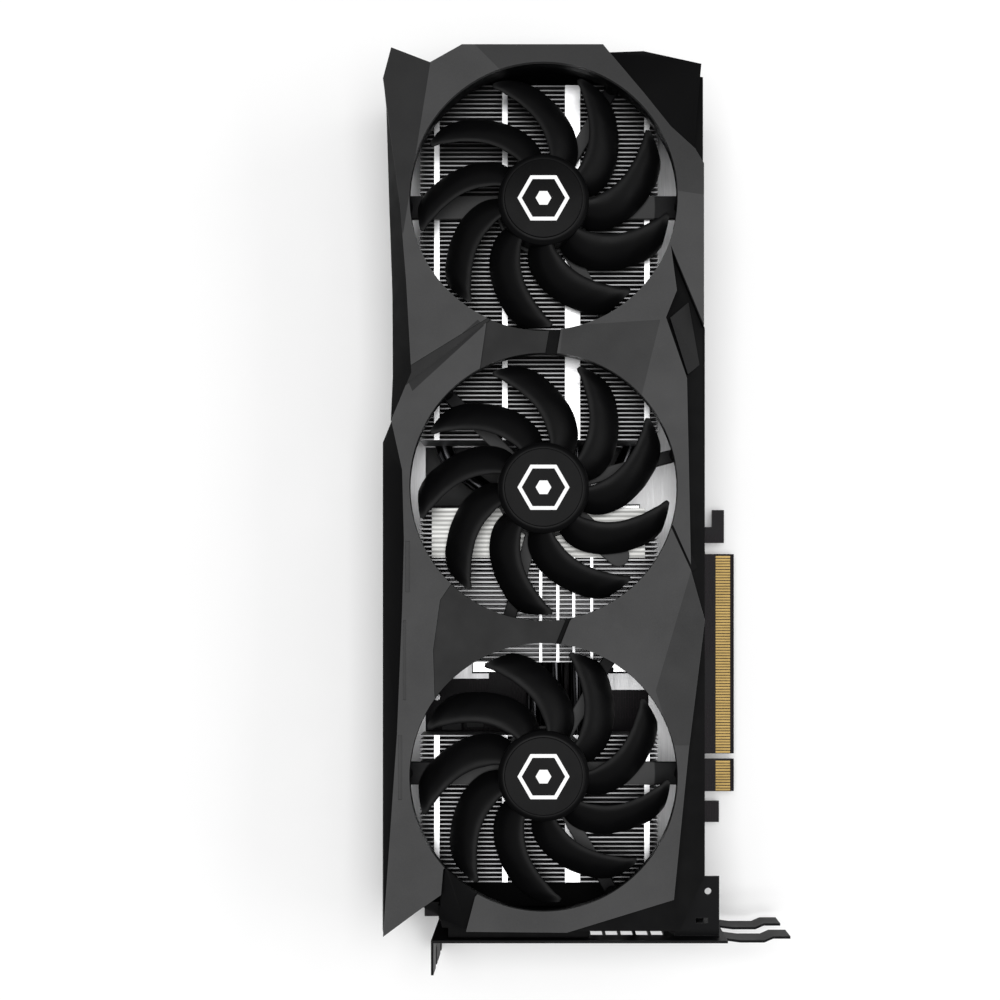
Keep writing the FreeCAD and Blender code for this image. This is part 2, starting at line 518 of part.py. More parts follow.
def make_shroud():
    base = BELT_Z - 0.1
    under_fascia = (base, DECK_Z)
    low = prism(BODY_OUTLINE, (BODY_LOW_Z, BELT_Z))
    deck_upper = prism(UPPER_FASCIA, under_fascia)
    deck_lower = prism(LOWER_FASCIA, under_fascia)
    between = prism([(150.0, 90.0), (150.0, 60.0), (-6.0, 58.0), (-6.0, 106.0), (62.0, 101.0), (128.0, 92.0)],
                    under_fascia)
    rim = prism([(-30.0, 80.0), (-42.3, 90.9), (-32.8, 100.8), (-20.0, 90.0)], under_fascia)
    groove = prism([(82.0, 26.6), (81.0, 24.0), (66.0, 17.6), (64.0, 20.8), (78.0, 30.0)], under_fascia)
    ledge = prism([(174.0, 27.5), (157.2, 26.5), (148.3, 30.0), (128.3, 23.0), (66.8, 21.0), (48.7, 17.0),
                   (6.0, 22.0), (-42.0, 27.0), (-53.0, 61.0), (-53.0, 92.0), (BODY_END_X, 93.9),
                   (BODY_END_X, 23.0), (-36.1, BODY_Y[0]), (145.7, BODY_Y[0])], (base, LEDGE_Z))
    strap_root = (-32.8, 100.8, DECK_Z)
    strap_low = (-53.8, 93.9, DECK_Z - 1.6)
    strap_foot = (-50.5, 103.2, LEDGE_Z)
    strap = slanted([strap_root, (-42.3, 90.9, DECK_Z), strap_low], base)
    strap_end = slanted([strap_root, strap_low, strap_foot], base)
    corner = slanted([strap_root, strap_foot, (-43.3, 103.6, LEDGE_Z)], base)
    tail_high = (236.1, 47.2, DECK_Z)
    tail_side = (211.1, 26.5, DECK_Z)
    tail_corner = [slanted([tail_high, tail_side, TAIL_APEX], base),
                   slanted([tail_high, TAIL_APEX, (237.2, 35.3, TAIL_APEX[2])], base),
                   slanted([tail_side, (203.9, 18.6, LEDGE_Z - 0.4), TAIL_APEX], base)]
    outer_tail = [(219.7, 120.9, 36.0), (186.8, 120.0, 35.0), (157.2, 119.0, 34.5), (130.3, 118.9, 34.5),
                  (114.6, 118.8, DECK_Z)]
    outer_side = [(107.9, 122.0, 36.5), (98.1, 122.0, 36.5), (75.0, 122.0, 36.5), (52.0, 122.0, 36.5),
                  (10.9, 122.0, 36.5), (-54.0, 121.9, 38.0)]
    slopes = facet_strip(at_height(LEFT_TAIL_EDGE, DECK_Z), outer_tail, base)
    slopes += facet_strip(at_height(LEFT_EDGE, DECK_Z), outer_side, base)
    body = fuse([low, deck_upper, deck_lower, between, rim, groove, ledge, strap, strap_end, corner]
                + tail_corner + slopes)
    hollow = prism(CAVITY_OUTLINE, (BODY_LOW_Z - 1, BELT_Z - WALL))
    pocket_low = BELT_Z - WALL - 0.1
    pockets = fuse([box((-46.0, 224.0), (30.0, 111.0), (pocket_low, DECK_Z - WALL)),
                    box((-40.0, 196.0), (18.5, 30.1), (pocket_low, LEDGE_Z - WALL)),
                    box((-44.0, 224.0), (110.9, 117.0), (pocket_low, 34.0))])
    pockets = cut(pockets, fan_bores(LIP_R, (20, 50)))
    rings = fan_bores(RING_CLEAR_R, (pocket_low, RING_LOW_Z))
    seats = [box((-57.0, -37.4), (8.0, 24.6), (FOOT_Z[0] - 0.4, FOOT_Z[1] + 0.54)),
             box((-57.0, -42.0), (18.5, 97.6), (0.0, 7.6)),
             box((-57.0, -48.0), (9.0, 19.5), (0.0, 4.0)),
             box((-57.0, -48.0), (96.0, 106.0), (0.0, 4.0))]
    sockets = box(SOCKET_BAY_X, (110.0, 125.0), (BODY_LOW_Z - 1, POWER_SOCKET_Z[1] + 3.0))
    windows = [side_window(116.0 + i * WINDOW_PITCH, (110.0, 125.0)) for i in range(8)]
    windows += [side_window(-46.0 + i * WINDOW_PITCH, (110.0, 125.0)) for i in (0, 1, 2, 3, 4, 9, 10)]
    windows += [side_window(-30.0 + i * WINDOW_PITCH, (10.0, 20.0)) for i in range(18)]
    bores = fan_bores(OPENING_R, (20, 50))
    shell = cut(body, [hollow, pockets, sockets] + seats + windows + bores + rings)
    bosses = [post(polar((x, FAN_Y), ARM_REACH, angle), 2.4, (FRAME_Z[1], DECK_Z - 4.0))
              for name, x in FANS.items() for angle in ARM_ANGLES[name]]
    end_block = box((BRACKET_X + BRACKET_T + 0.24, BODY_END_X + 0.6), (53.0, 100.5), (12.0, BELT_Z - 1.0))
    baffle = box((BODY_END_X + 0.1, -41.0), (24.8, 99.0), (8.2, 9.2))
    save("shroud_body", cut(fuse([shell, end_block, baffle] + bosses), bores))


def make_fascia():
    openings = fan_bores(OPENING_R, (DECK_Z - 1, FRONT_Z + 1))
    whole = (DECK_Z, FRONT_Z + 1)
    upper = prism(UPPER_FASCIA, (DECK_Z, FRONT_Z))
    stripe = prism(STRIPE, (FRONT_Z - 0.8, FRONT_Z + 1)).common(upper)
    notch = prism(NOTCH_TAIL, (DECK_Z - 1, FRONT_Z + 1))
    pockets = [box(x, y, (FRONT_Z - 0.5, FRONT_Z + 1)) for x, y in EDGE_POCKETS]
    inlays = [prism(INLAY_TAIL, whole), prism(INLAY_MIDDLE, whole)]
    save("fascia_upper", cut(upper, openings + [stripe, notch] + pockets + inlays))
    save("fascia_lower", cut(prism(LOWER_FASCIA, (DECK_Z, FRONT_Z)), openings + inlays))
    plates = [cut(prism(INLAY_TAIL, (DECK_Z, FRONT_Z - 0.9)), openings + [notch]),
              cut(prism(INLAY_MIDDLE, (DECK_Z, FRONT_Z - 0.6)), openings),
              cut(stripe, openings + [box((100, 160), (80, 120), (FRONT_Z - 0.3, FRONT_Z + 2))])]
    save("fascia_inlays", Part.makeCompound(plates))


def make_side_facet():
    facet = slanted([(148.6, 26.6, DECK_Z), (154.0, 20.4, 40.2), (133.4, 16.6, 38.9)], LEDGE_Z)
    second = slanted([(148.6, 26.6, DECK_Z), (133.4, 16.6, 38.9), (130.0, 20.6, 40.4)], LEDGE_Z)
    save("side_facet", fuse([facet, second]))


# ---------------------------------------------------------------- fans
def blade_section(radius, sweep, width, height, top):
    """Flat closed outline of a cambered blade at one radius, shallow in front and steep behind."""
    outward = FreeCAD.Vector(math.cos(math.radians(sweep)), math.sin(math.radians(sweep)), 0)
    forward = FreeCAD.Vector(-outward.y, outward.x, 0)
    upper = []
    steps = 4
    for i in range(steps + 1):
        along = i / steps
        lift = FreeCAD.Vector(0, 0, top - height * along ** 1.6)
        upper.append(outward * radius + forward * (width * (0.5 - along)) + lift)
    lower = [p - FreeCAD.Vector(0, 0, BLADE_T) for p in reversed(upper)]
    return Part.makePolygon(upper + lower + upper[:1])


def make_blade():
    stations = [(HUB_R - 0.9, 0.0, 7.6, 6.4), (20.0, 0.13, 10.4, 6.6), (27.0, 0.38, 12.0, 6.6),
                (34.0, 0.67, 12.4, 6.5), (39.0, 0.87, 12.0, 6.2), (ROTOR_R, 1.0, 10.0, 5.8)]
    top = ROTOR_Z[1] - 1.2
    wires = [blade_section(r, BLADE_SWEEP * (t - 1), width, height, top) for r, t, width, height in stations]
    blade = Part.makeLoft(wires, True, True)
    return blade if blade.Volume > 0 else blade.reversed()


def make_rotor(name, centre):
    cup = post((0, 0), HUB_R, ROTOR_Z)
    rim = [e for e in cup.Edges
           if abs(e.CenterOfMass.z - ROTOR_Z[1]) < 0.01 and e.Curve.TypeId.endswith("Circle")]
    cup = cup.makeChamfer(1.3, rim)
    hollow = post((0, 0), HUB_R - 1.3, (ROTOR_Z[0] - 1, ROTOR_Z[1] - 1.6))
    shaft_seat = post((0, 0), SHAFT_R, (ROTOR_Z[0], ROTOR_Z[1] - 0.6))
    blade = make_blade()
    blades = []
    for i in range(BLADES):
        turned = blade.copy()
        turned.rotate(FreeCAD.Vector(0, 0, 0), FreeCAD.Vector(0, 0, 1), FAN_PHASE[name] + i * 360.0 / BLADES)
        blades.append(turned)
    rotor = cup.multiFuse(blades).cut(Part.makeCompound([hollow, shaft_seat]))
    place(rotor, centre)
    save("rotor_" + name, rotor)


def place(shape, centre):
    shape.translate(FreeCAD.Vector(centre[0], centre[1], 0))
    return shape


def make_motor(name, centre):
    magnet = tube(centre, HUB_R - 1.3, HUB_R - 2.8, (ROTOR_Z[0] + 0.4, ROTOR_Z[1] - 2.0))
    save("magnet_ring_" + name, magnet)
    save("shaft_" + name, post(centre, SHAFT_R, (ROTOR_Z[0] - 0.2, ROTOR_Z[1] - 0.6)))
    bearing = tube(centre, 3.0, SHAFT_R + RUNNING_CLEARANCE, (FRAME_Z[1], ROTOR_Z[1] - 2.4))
    save("bearing_" + name, bearing)
    core = [tube(centre, 4.6, 3.0, (32.8, 36.2))]
    coils = []
    for i in range(6):
        pole = box((4.2, 11.2), (-1.1, 1.1), (32.8, 36.2))
        shoe = tube((0, 0), 11.8, 10.8, (32.8, 36.2)).common(box((5, 13), (-4.6, 4.6), (30, 40)))
        coil = box((5.4, 10.2), (-2.1, 2.1), (32.0, 37.0)).cut(box((4, 12), (-1.1, 1.1), (32.8, 36.2)))
        for shape in (pole, shoe, coil):
            shape.rotate(FreeCAD.Vector(0, 0, 0), FreeCAD.Vector(0, 0, 1), 60 * i)
            place(shape, centre)
        core += [pole, shoe]
        coils.append(coil)
    save("stator_" + name, fuse(core))
    save("stator_coils_" + name, Part.makeCompound(coils))


def make_frame(name, centre):
    arms = [post(centre, 16.0, FRAME_Z)]
    for angle in ARM_ANGLES[name]:
        width = 7.8 if angle in (90, -90) else 4.4
        arm = box((10.0, ARM_REACH), (-width / 2, width / 2), FRAME_Z)
        arm.rotate(FreeCAD.Vector(0, 0, 0), FreeCAD.Vector(0, 0, 1), angle)
        arms.append(place(arm, centre))
        arms.append(post(polar(centre, ARM_REACH, angle), 2.6, FRAME_Z))
    if name == "middle":
        outlet = box((10.0, WIRE_REACH), (-WIRE_W / 2, WIRE_W / 2), FRAME_Z)
        outlet.rotate(FreeCAD.Vector(0, 0, 0), FreeCAD.Vector(0, 0, 1), WIRE_ANGLE)
        arms += [place(outlet, centre), post(polar(centre, WIRE_REACH, WIRE_ANGLE), WIRE_W / 2, FRAME_Z)]
    save("fan_frame_" + name, fuse(arms))


def make_cap(name, centre):
    level = (ROTOR_Z[1], ROTOR_Z[1] + CAP_T)
    cap = post(centre, HUB_R - 1.9, level)
    save("hub_cap_" + name, cap)


def main():
    os.makedirs("parts", exist_ok=True)
    make_board()
    make_contacts()
    make_processor()
    make_power_stage()
    make_power_sockets()
    make_display_sockets()
    make_bracket()
    make_backplate()
    make_clamp()
    make_cold_plate()
    make_base_plate()
    make_heat_pipes()
    make_fins()
    make_shroud()
    make_fascia()
    make_side_facet()
    for name, x in FANS.items():
        centre = (x, FAN_Y)
        make_rotor(name, centre)
        make_motor(name, centre)
        make_frame(name, centre)
        make_cap(name, centre)


main()
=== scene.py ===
import bmesh
import bpy
import json
import math
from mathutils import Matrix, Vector


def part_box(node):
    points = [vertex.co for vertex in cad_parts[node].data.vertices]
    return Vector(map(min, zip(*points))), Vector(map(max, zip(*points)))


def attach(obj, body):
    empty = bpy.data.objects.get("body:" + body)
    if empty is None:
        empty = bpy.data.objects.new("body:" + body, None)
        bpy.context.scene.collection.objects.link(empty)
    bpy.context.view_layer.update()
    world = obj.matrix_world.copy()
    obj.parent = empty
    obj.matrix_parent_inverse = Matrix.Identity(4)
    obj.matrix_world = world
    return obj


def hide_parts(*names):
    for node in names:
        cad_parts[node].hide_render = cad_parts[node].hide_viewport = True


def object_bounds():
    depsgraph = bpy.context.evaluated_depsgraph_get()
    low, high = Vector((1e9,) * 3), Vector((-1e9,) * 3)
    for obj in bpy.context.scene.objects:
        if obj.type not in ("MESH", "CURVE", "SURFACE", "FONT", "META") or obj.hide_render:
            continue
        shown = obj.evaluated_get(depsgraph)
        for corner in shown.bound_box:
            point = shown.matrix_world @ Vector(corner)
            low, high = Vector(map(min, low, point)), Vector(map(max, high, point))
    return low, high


# Looks of a triple-fan graphics card. Metres, in the CAD frame:
# +X from the bracket to the tail, +Y from the fingers to the top edge, +Z from the board to the fans.

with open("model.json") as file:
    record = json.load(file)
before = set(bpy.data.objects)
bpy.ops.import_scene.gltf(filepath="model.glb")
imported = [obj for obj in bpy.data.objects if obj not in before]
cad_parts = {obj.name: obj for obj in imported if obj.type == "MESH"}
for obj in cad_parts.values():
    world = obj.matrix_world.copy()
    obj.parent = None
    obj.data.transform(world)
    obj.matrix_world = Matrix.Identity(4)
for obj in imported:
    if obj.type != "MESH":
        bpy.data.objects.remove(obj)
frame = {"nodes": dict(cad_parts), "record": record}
cad_low, cad_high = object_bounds()
nodes = frame["nodes"]
slot_of = {part["node"]: part["material_slot"] for part in frame["record"]["subparts"]}
body_of = {node: body for body, members in frame["record"]["behaviour"]["bodies"].items() for node in members}

MM = 0.001
FANS = ("tail", "middle", "bracket")


def disc_box(node):
    """Centre, radius, lowest and highest z of a round node."""
    low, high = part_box(node)
    return (low + high) / 2, (high.x - low.x) / 2, low.z, high.z


# ---------------------------------------------------------------- material building blocks
def add(tree, kind, **inputs):
    """A shader node with its inputs set by name."""
    node = tree.nodes.new(kind)
    for name, value in inputs.items():
        node.inputs[name].default_value = value
    return node


def new_material(name, colour, roughness, metallic=0.0, specular=0.5):
    material = bpy.data.materials.new(name)
    material.use_nodes = True
    shader = material.node_tree.nodes["Principled BSDF"]
    shader.inputs["Base Color"].default_value = (*colour, 1)
    shader.inputs["Roughness"].default_value = roughness
    shader.inputs["Metallic"].default_value = metallic
    shader.inputs["Specular IOR Level"].default_value = specular
    material.diffuse_color = (*colour, 1)
    return material, material.node_tree, shader


def place_of(tree, stretch=(1, 1, 1)):
    """The point on the part, in metres, squeezed along each axis by stretch."""
    coordinates = tree.nodes.new("ShaderNodeTexCoord")
    mapping = tree.nodes.new("ShaderNodeMapping")
    mapping.inputs["Scale"].default_value = stretch
    tree.links.new(coordinates.outputs["Object"], mapping.inputs["Vector"])
    return mapping.outputs["Vector"]


def cloud(tree, place, feature, detail=3.0, roughness=0.55):
    """Noise whose blotches are about `feature` metres across."""
    node = add(tree, "ShaderNodeTexNoise", Scale=1 / feature, Detail=detail, Roughness=roughness)
    tree.links.new(place, node.inputs["Vector"])
    return node.outputs["Fac"]


def spread(tree, factor, low, high, start=0.3, end=0.7):
    """Maps the middle of a noise to low..high."""
    node = tree.nodes.new("ShaderNodeMapRange")
    for name, value in (("From Min", start), ("From Max", end), ("To Min", low), ("To Max", high)):
        node.inputs[name].default_value = value
    tree.links.new(factor, node.inputs["Value"])
    return node.outputs["Result"]


def combine(tree, operation, a, b):
    """Maths on two values, each a number or a socket."""
    node = tree.nodes.new("ShaderNodeMath")
    node.operation = operation
    for i, value in enumerate((a, b)):
        if isinstance(value, (int, float)):
            node.inputs[i].default_value = value
        else:
            tree.links.new(value, node.inputs[i])
    return node.outputs["Value"]


def blend(tree, factor, first, second):
    """Colour between first and second, each a tuple or a socket."""
    node = tree.nodes.new("ShaderNodeMix")
    node.data_type = "RGBA"
    tree.links.new(factor, node.inputs["Factor"])
    for name, value in (("A", first), ("B", second)):
        socket = [s for s in node.inputs if s.name == name and s.type == "RGBA"][0]
        if isinstance(value, tuple):
            socket.default_value = (*value, 1)
        else:
            tree.links.new(value, socket)
    return [s for s in node.outputs if s.type == "RGBA"][0]


def raise_bumps(tree, shader, height, depth):
    """Bumps up to `depth` metres high, where height goes from 0 to 1."""
    node = add(tree, "ShaderNodeBump", Strength=1.0, Distance=depth)
    tree.links.new(height, node.inputs["Height"])
    tree.links.new(node.outputs["Normal"], shader.inputs["Normal"])


def tint(colour, factor):
    """The colour, darker or lighter by factor."""
    return tuple(min(1.0, c * factor) for c in colour)


def edge_mask(tree, radius):
    """Near 1 along sharp edges and 0 on flats."""
    bevel = add(tree, "ShaderNodeBevel", Radius=radius)
    bevel.samples = 4
    geometry = tree.nodes.new("ShaderNodeNewGeometry")
    match = tree.nodes.new("ShaderNodeVectorMath")
    match.operation = "DOT_PRODUCT"
    tree.links.new(bevel.outputs["Normal"], match.inputs[0])
    tree.links.new(geometry.outputs["Normal"], match.inputs[1])
    return spread(tree, match.outputs["Value"], 1.0, 0.0, 0.90, 0.995)


def moulded(name, colour, roughness=0.45, specular=0.3, grain=0.35 * MM, depth=0.012 * MM, wear_and_edge_highlight=0.0):
    """Injection-moulded plastic: spark-eroded grain, cloudy gloss, edges lighter, partly as rubbed wear and
    partly as a painted edge highlight.
    """
    material, tree, shader = new_material(name, colour, roughness, specular=specular)
    place = place_of(tree)
    wide = cloud(tree, place, 35 * MM, 2.0)
    fine = cloud(tree, place, grain, 4.0, 0.65)
    base = blend(tree, spread(tree, wide, 0.0, 1.0), tint(colour, 0.86), tint(colour, 1.16))
    base = blend(tree, spread(tree, fine, 0.0, 0.35), base, tint(colour, 1.5))
    # the lighter edges are partly rubbed wear and partly a painted highlight that picks out the edges
    if wear_and_edge_highlight:
        rubbed_and_highlit = combine(tree, "MULTIPLY", edge_mask(tree, 0.5 * MM), spread(tree, fine, 0.35, 1.0))
        base = blend(tree, combine(tree, "MULTIPLY", rubbed_and_highlit, wear_and_edge_highlight), base, tint(colour, 2.6))
    tree.links.new(base, shader.inputs["Base Color"])
    gloss = spread(tree, cloud(tree, place, 9 * MM, 3.0), roughness - 0.06, roughness + 0.06)
    tree.links.new(gloss, shader.inputs["Roughness"])
    raise_bumps(tree, shader, fine, depth)
    return material


def coated_metal(name, colour, roughness=0.4, peel=0.5 * MM, depth=0.02 * MM, specular=0.35, wear_and_edge_highlight=0.4):
    """Powder-coated or anodised sheet: orange peel, small dust specks, lighter grey edges, partly
    bare-looking wear and partly a painted edge highlight.
    """
    material, tree, shader = new_material(name, colour, roughness, specular=specular)
    place = place_of(tree)
    skin = cloud(tree, place, peel, 3.0, 0.6)
    wide = cloud(tree, place, 25 * MM, 3.0)
    specks = spread(tree, cloud(tree, place, 0.6 * MM, 1.0), 0.0, 1.0, 0.70, 0.76)
    base = blend(tree, spread(tree, wide, 0.0, 1.0), tint(colour, 0.85), tint(colour, 1.2))
    base = blend(tree, combine(tree, "MULTIPLY", specks, 0.5), base, tint(colour, 3.0))
    # lighter grey edges: partly bare-looking wear, partly a painted highlight along the edges
    rubbed_and_highlit = combine(tree, "MULTIPLY", edge_mask(tree, 0.35 * MM), spread(tree, skin, 0.2, 1.0))
    base = blend(tree, combine(tree, "MULTIPLY", rubbed_and_highlit, wear_and_edge_highlight), base, (0.16, 0.16, 0.165))
    tree.links.new(base, shader.inputs["Base Color"])
    tree.links.new(spread(tree, wide, roughness - 0.05, roughness + 0.08), shader.inputs["Roughness"])
    raise_bumps(tree, shader, skin, depth)
    return material


def bare_metal(name, colour, roughness=0.3, grain=(1, 1, 1), feature=1.5 * MM, depth=0.004 * MM, stain=0.12):
    """Uncoated metal: drawn lines along the axis with the smallest grain, cloudy stains."""
    material, tree, shader = new_material(name, colour, roughness, metallic=1.0)
    lines = cloud(tree, place_of(tree, grain), feature, 4.0, 0.7)
    stains = cloud(tree, place_of(tree), 11 * MM, 4.0, 0.6)
    base = blend(tree, spread(tree, lines, 0.0, 1.0), tint(colour, 0.86), tint(colour, 1.08))
    base = blend(tree, spread(tree, stains, 0.0, stain), base, tint(colour, 0.45))
    tree.links.new(base, shader.inputs["Base Color"])
    tree.links.new(spread(tree, lines, roughness - 0.08, roughness + 0.1), shader.inputs["Roughness"])
    raise_bumps(tree, shader, lines, depth)
    return material


def laminate(name):
    """Black solder mask over patches of copper, whose traces show as faint raised lines."""
    colour = (0.0045, 0.0036, 0.0050)
    material, tree, shader = new_material(name, colour, 0.34, specular=0.08)
    place = place_of(tree)
    traces = add(tree, "ShaderNodeTexBrick", Scale=1.0)
    traces.inputs["Mortar Size"].default_value = 0.16 * MM
    traces.inputs["Mortar Smooth"].default_value = 0.2
    traces.inputs["Brick Width"].default_value = 7.0 * MM
    traces.inputs["Row Height"].default_value = 0.95 * MM
    tree.links.new(place_of(tree, (1, 1, 0)), traces.inputs["Vector"])
    copper = spread(tree, cloud(tree, place, 14 * MM, 1.0), 0.0, 1.0, 0.42, 0.5)
    line = combine(tree, "MULTIPLY", traces.outputs["Fac"], copper)
    weave = cloud(tree, place, 0.4 * MM, 2.0)
    base = blend(tree, line, colour, (0.013, 0.008, 0.011))
    base = blend(tree, spread(tree, weave, 0.0, 0.3), base, (0.009, 0.007, 0.009))
    tree.links.new(base, shader.inputs["Base Color"])
    tree.links.new(spread(tree, weave, 0.26, 0.38), shader.inputs["Roughness"])
    raise_bumps(tree, shader, combine(tree, "ADD", line, combine(tree, "MULTIPLY", weave, 0.3)), 0.03 * MM)
    return material


GREY_ARM_REACH = 37.4 * MM
BLACK_ARM_START = 37.8 * MM


def frame_finish(name, centre):
    """Grey fan spider whose arm ends turn black where they meet the shroud."""
    material = moulded(name, (0.040, 0.040, 0.0405), 0.45, 0.10, wear_and_edge_highlight=0.3)
    tree = material.node_tree
    shader = tree.nodes["Principled BSDF"]
    away = tree.nodes.new("ShaderNodeVectorMath")
    away.operation = "DISTANCE"
    tree.links.new(place_of(tree, (1, 1, 0)), away.inputs[0])
    away.inputs[1].default_value = (centre.x, centre.y, 0)
    outer = spread(tree, away.outputs["Value"], 0.0, 1.0, GREY_ARM_REACH, BLACK_ARM_START)
    grey = shader.inputs["Base Color"].links[0].from_socket
    tree.links.new(blend(tree, outer, grey, (0.0025, 0.0025, 0.003)), shader.inputs["Base Color"])
    return material


TAB_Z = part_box("fin_stack_tail")[1].z - 0.2 * MM
SHEET_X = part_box("fin_stack_middle")[1].x - 16.8 * MM
FIN_PITCH = 1.5 * MM
# a wave texture of scale 1 repeats every pi / 10 metres
WAVE_AT_UNIT_SCALE = math.pi / 10
SOFT_STEP = 0.05 * MM


def finned(name, edge, top, sheet=None):
    """Fins: dull cut edges, kept dull as painted shade, bright tabs above TAB_Z, painted bright as a
    highlight, and, on those past SHEET_X, a duller ribbed sheet whose ribs are painted as dark and light
    stripes, a painted shade in the grooves.
    """
    material = bare_metal(name, edge, 0.42, (1, 0.06, 1), 1.2 * MM, stain=0.25)
    tree = material.node_tree
    shader = tree.nodes["Principled BSDF"]
    split = tree.nodes.new("ShaderNodeSeparateXYZ")
    tree.links.new(place_of(tree), split.inputs["Vector"])
    # painted highlight: everything above TAB_Z is painted bright, and the fins below keep the dull colour as
    # painted shade
    painted_highlight_mask = spread(tree, split.outputs["Z"], 0.0, 1.0, TAB_Z - SOFT_STEP, TAB_Z + SOFT_STEP)
    painted_shade_fin_colour = shader.inputs["Base Color"].links[0].from_socket
    if sheet:
        # painted shade: dark stripes at the fin pitch stand for the shade in the grooves between the ribs
        ribs = add(tree, "ShaderNodeTexWave", Scale=WAVE_AT_UNIT_SCALE / FIN_PITCH)
        tree.links.new(place_of(tree), ribs.inputs["Vector"])
        ribs_painted_shade = blend(tree, ribs.outputs["Fac"], tint(sheet, 0.45), sheet)
        on_sheet = spread(tree, split.outputs["X"], 0.0, 1.0, SHEET_X - SOFT_STEP, SHEET_X + SOFT_STEP)
        top = blend(tree, on_sheet, top, ribs_painted_shade)
    tree.links.new(blend(tree, painted_highlight_mask, painted_shade_fin_colour, top), shader.inputs["Base Color"])
    return material


# near-white colour painted on the tabs as a highlight
TAB_PAINTED_HIGHLIGHT = (0.86, 0.86, 0.87)
materials = {
    "shroud_plastic": moulded("satin_black_shroud", (0.0022, 0.0022, 0.0024), 0.5, 0.05, wear_and_edge_highlight=0.5),
    "fascia_grey": moulded("dark_grey_fascia", (0.043, 0.043, 0.0435), 0.5, 0.12, wear_and_edge_highlight=0.3),
    "fascia_dark": moulded("darker_inlay", (0.012, 0.012, 0.0122), 0.46, 0.12, wear_and_edge_highlight=0.35),
    "fan_plastic": moulded("fan_black", (0.0024, 0.0024, 0.0026), 0.40, 0.09, wear_and_edge_highlight=0.3),
    "hub_gloss": moulded("hub_gloss_black", (0.0024, 0.0024, 0.0026), 0.24, 0.05, grain=0.8 * MM,
                         depth=0.003 * MM),
    "magnet": moulded("bonded_magnet", (0.05, 0.045, 0.04), 0.6),
    "chip_epoxy": moulded("chip_epoxy", (0.012, 0.012, 0.013), 0.5, grain=0.2 * MM),
    "package": moulded("package_laminate", (0.02, 0.045, 0.022), 0.35, 0.4),
    "ferrite": moulded("pressed_ferrite", (0.03, 0.03, 0.032), 0.6, grain=0.3 * MM, depth=0.03 * MM),
    "pad_rubber": moulded("soft_pad", (0.30, 0.34, 0.38), 0.7, grain=0.6 * MM, depth=0.03 * MM),
    "socket_plastic": moulded("socket_black", (0.008, 0.008, 0.009), 0.45, 0.25, wear_and_edge_highlight=0.3),
    "backplate_metal": coated_metal("backplate_black", (0.012, 0.012, 0.013), 0.38),
    "bracket_black": coated_metal("bracket_black", (0.0025, 0.0025, 0.003), 0.4, specular=0.06, wear_and_edge_highlight=0.2),
    "steel": bare_metal("plain_steel", (0.55, 0.55, 0.56), 0.32),
    "spring_steel": bare_metal("spring_steel", (0.42, 0.42, 0.43), 0.3, (1, 0.05, 1)),
    "lamination": bare_metal("stacked_lamination", (0.35, 0.35, 0.36), 0.4, (0.05, 0.05, 1), 0.4 * MM),
    "copper": bare_metal("copper", (0.78, 0.38, 0.24), 0.28, (0.08, 1, 1), stain=0.35),
    "cold_plate_nickel": bare_metal("bright_nickel", (0.74, 0.74, 0.74), 0.25, (0.08, 1, 1), stain=0.1),
    "bearing_bronze": bare_metal("bearing_bronze", (0.55, 0.38, 0.20), 0.35),
    "standoff_brass": bare_metal("standoff_brass", (0.70, 0.55, 0.28), 0.28),
    "gold": bare_metal("contact_gold", (0.225, 0.155, 0.056), 0.36, (1, 0.06, 1), 0.5 * MM, stain=0.3),
    "fin_aluminium": finned("fin_aluminium", (0.24, 0.24, 0.245), TAB_PAINTED_HIGHLIGHT),
    "plate_aluminium": bare_metal("plate_aluminium", (0.92, 0.92, 0.93), 0.5, (0.04, 1, 1), 0.7 * MM,
                                  stain=0.1),
    "pipe_plated": bare_metal("nickel_dark_pipe", (0.045, 0.045, 0.048), 0.16, (0.1, 1, 1), stain=0.3),
    "can_aluminium": bare_metal("capacitor_can", (0.50, 0.50, 0.52), 0.3),
    "socket_steel": bare_metal("socket_shell_steel", (0.55, 0.55, 0.56), 0.26, (0.05, 1, 1)),
    "board": laminate("black_board"),
}
emblem_white = moulded("emblem_white", (0.82, 0.82, 0.82), 0.4, grain=0.3 * MM, depth=0.004 * MM)


def dress(obj, material):
    """Gives an object one material only."""
    obj.data.materials.clear()
    obj.data.materials.append(material)


for node, obj in nodes.items():
    if node.startswith("fan_frame_"):
        hub = disc_box(node.replace("fan_frame", "hub_cap"))[0]
        dress(obj, frame_finish(node + "_grey", hub))
    elif node == "fin_stack_middle":
        dress(obj, finned("fin_aluminium_middle", (0.30, 0.30, 0.305), TAB_PAINTED_HIGHLIGHT, (0.36, 0.36, 0.35)))
    else:
        dress(obj, materials[slot_of[node]])


# ---------------------------------------------------------------- geometry building blocks
SHARP_ANGLE = math.radians(35)
COPLANAR_ANGLE = math.radians(0.6)
WELD_DISTANCE = 0.001 * MM


def new_piece(name, build, material, body, more_materials=()):
    """An object whose mesh is filled in by build(bm), shaded smooth where its angles are shallow."""
    mesh = bpy.data.meshes.new(name)
    bm = bmesh.new()
    build(bm)
    bmesh.ops.recalc_face_normals(bm, faces=bm.faces)
    bm.to_mesh(mesh)
    bm.free()
    obj = bpy.data.objects.new(name, mesh)
    bpy.context.scene.collection.objects.link(obj)
    mesh.shade_smooth()
    mesh.set_sharp_from_angle(angle=SHARP_ANGLE)
    for finish in (material, *more_materials):
        mesh.materials.append(finish)
    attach(obj, body)
    return obj


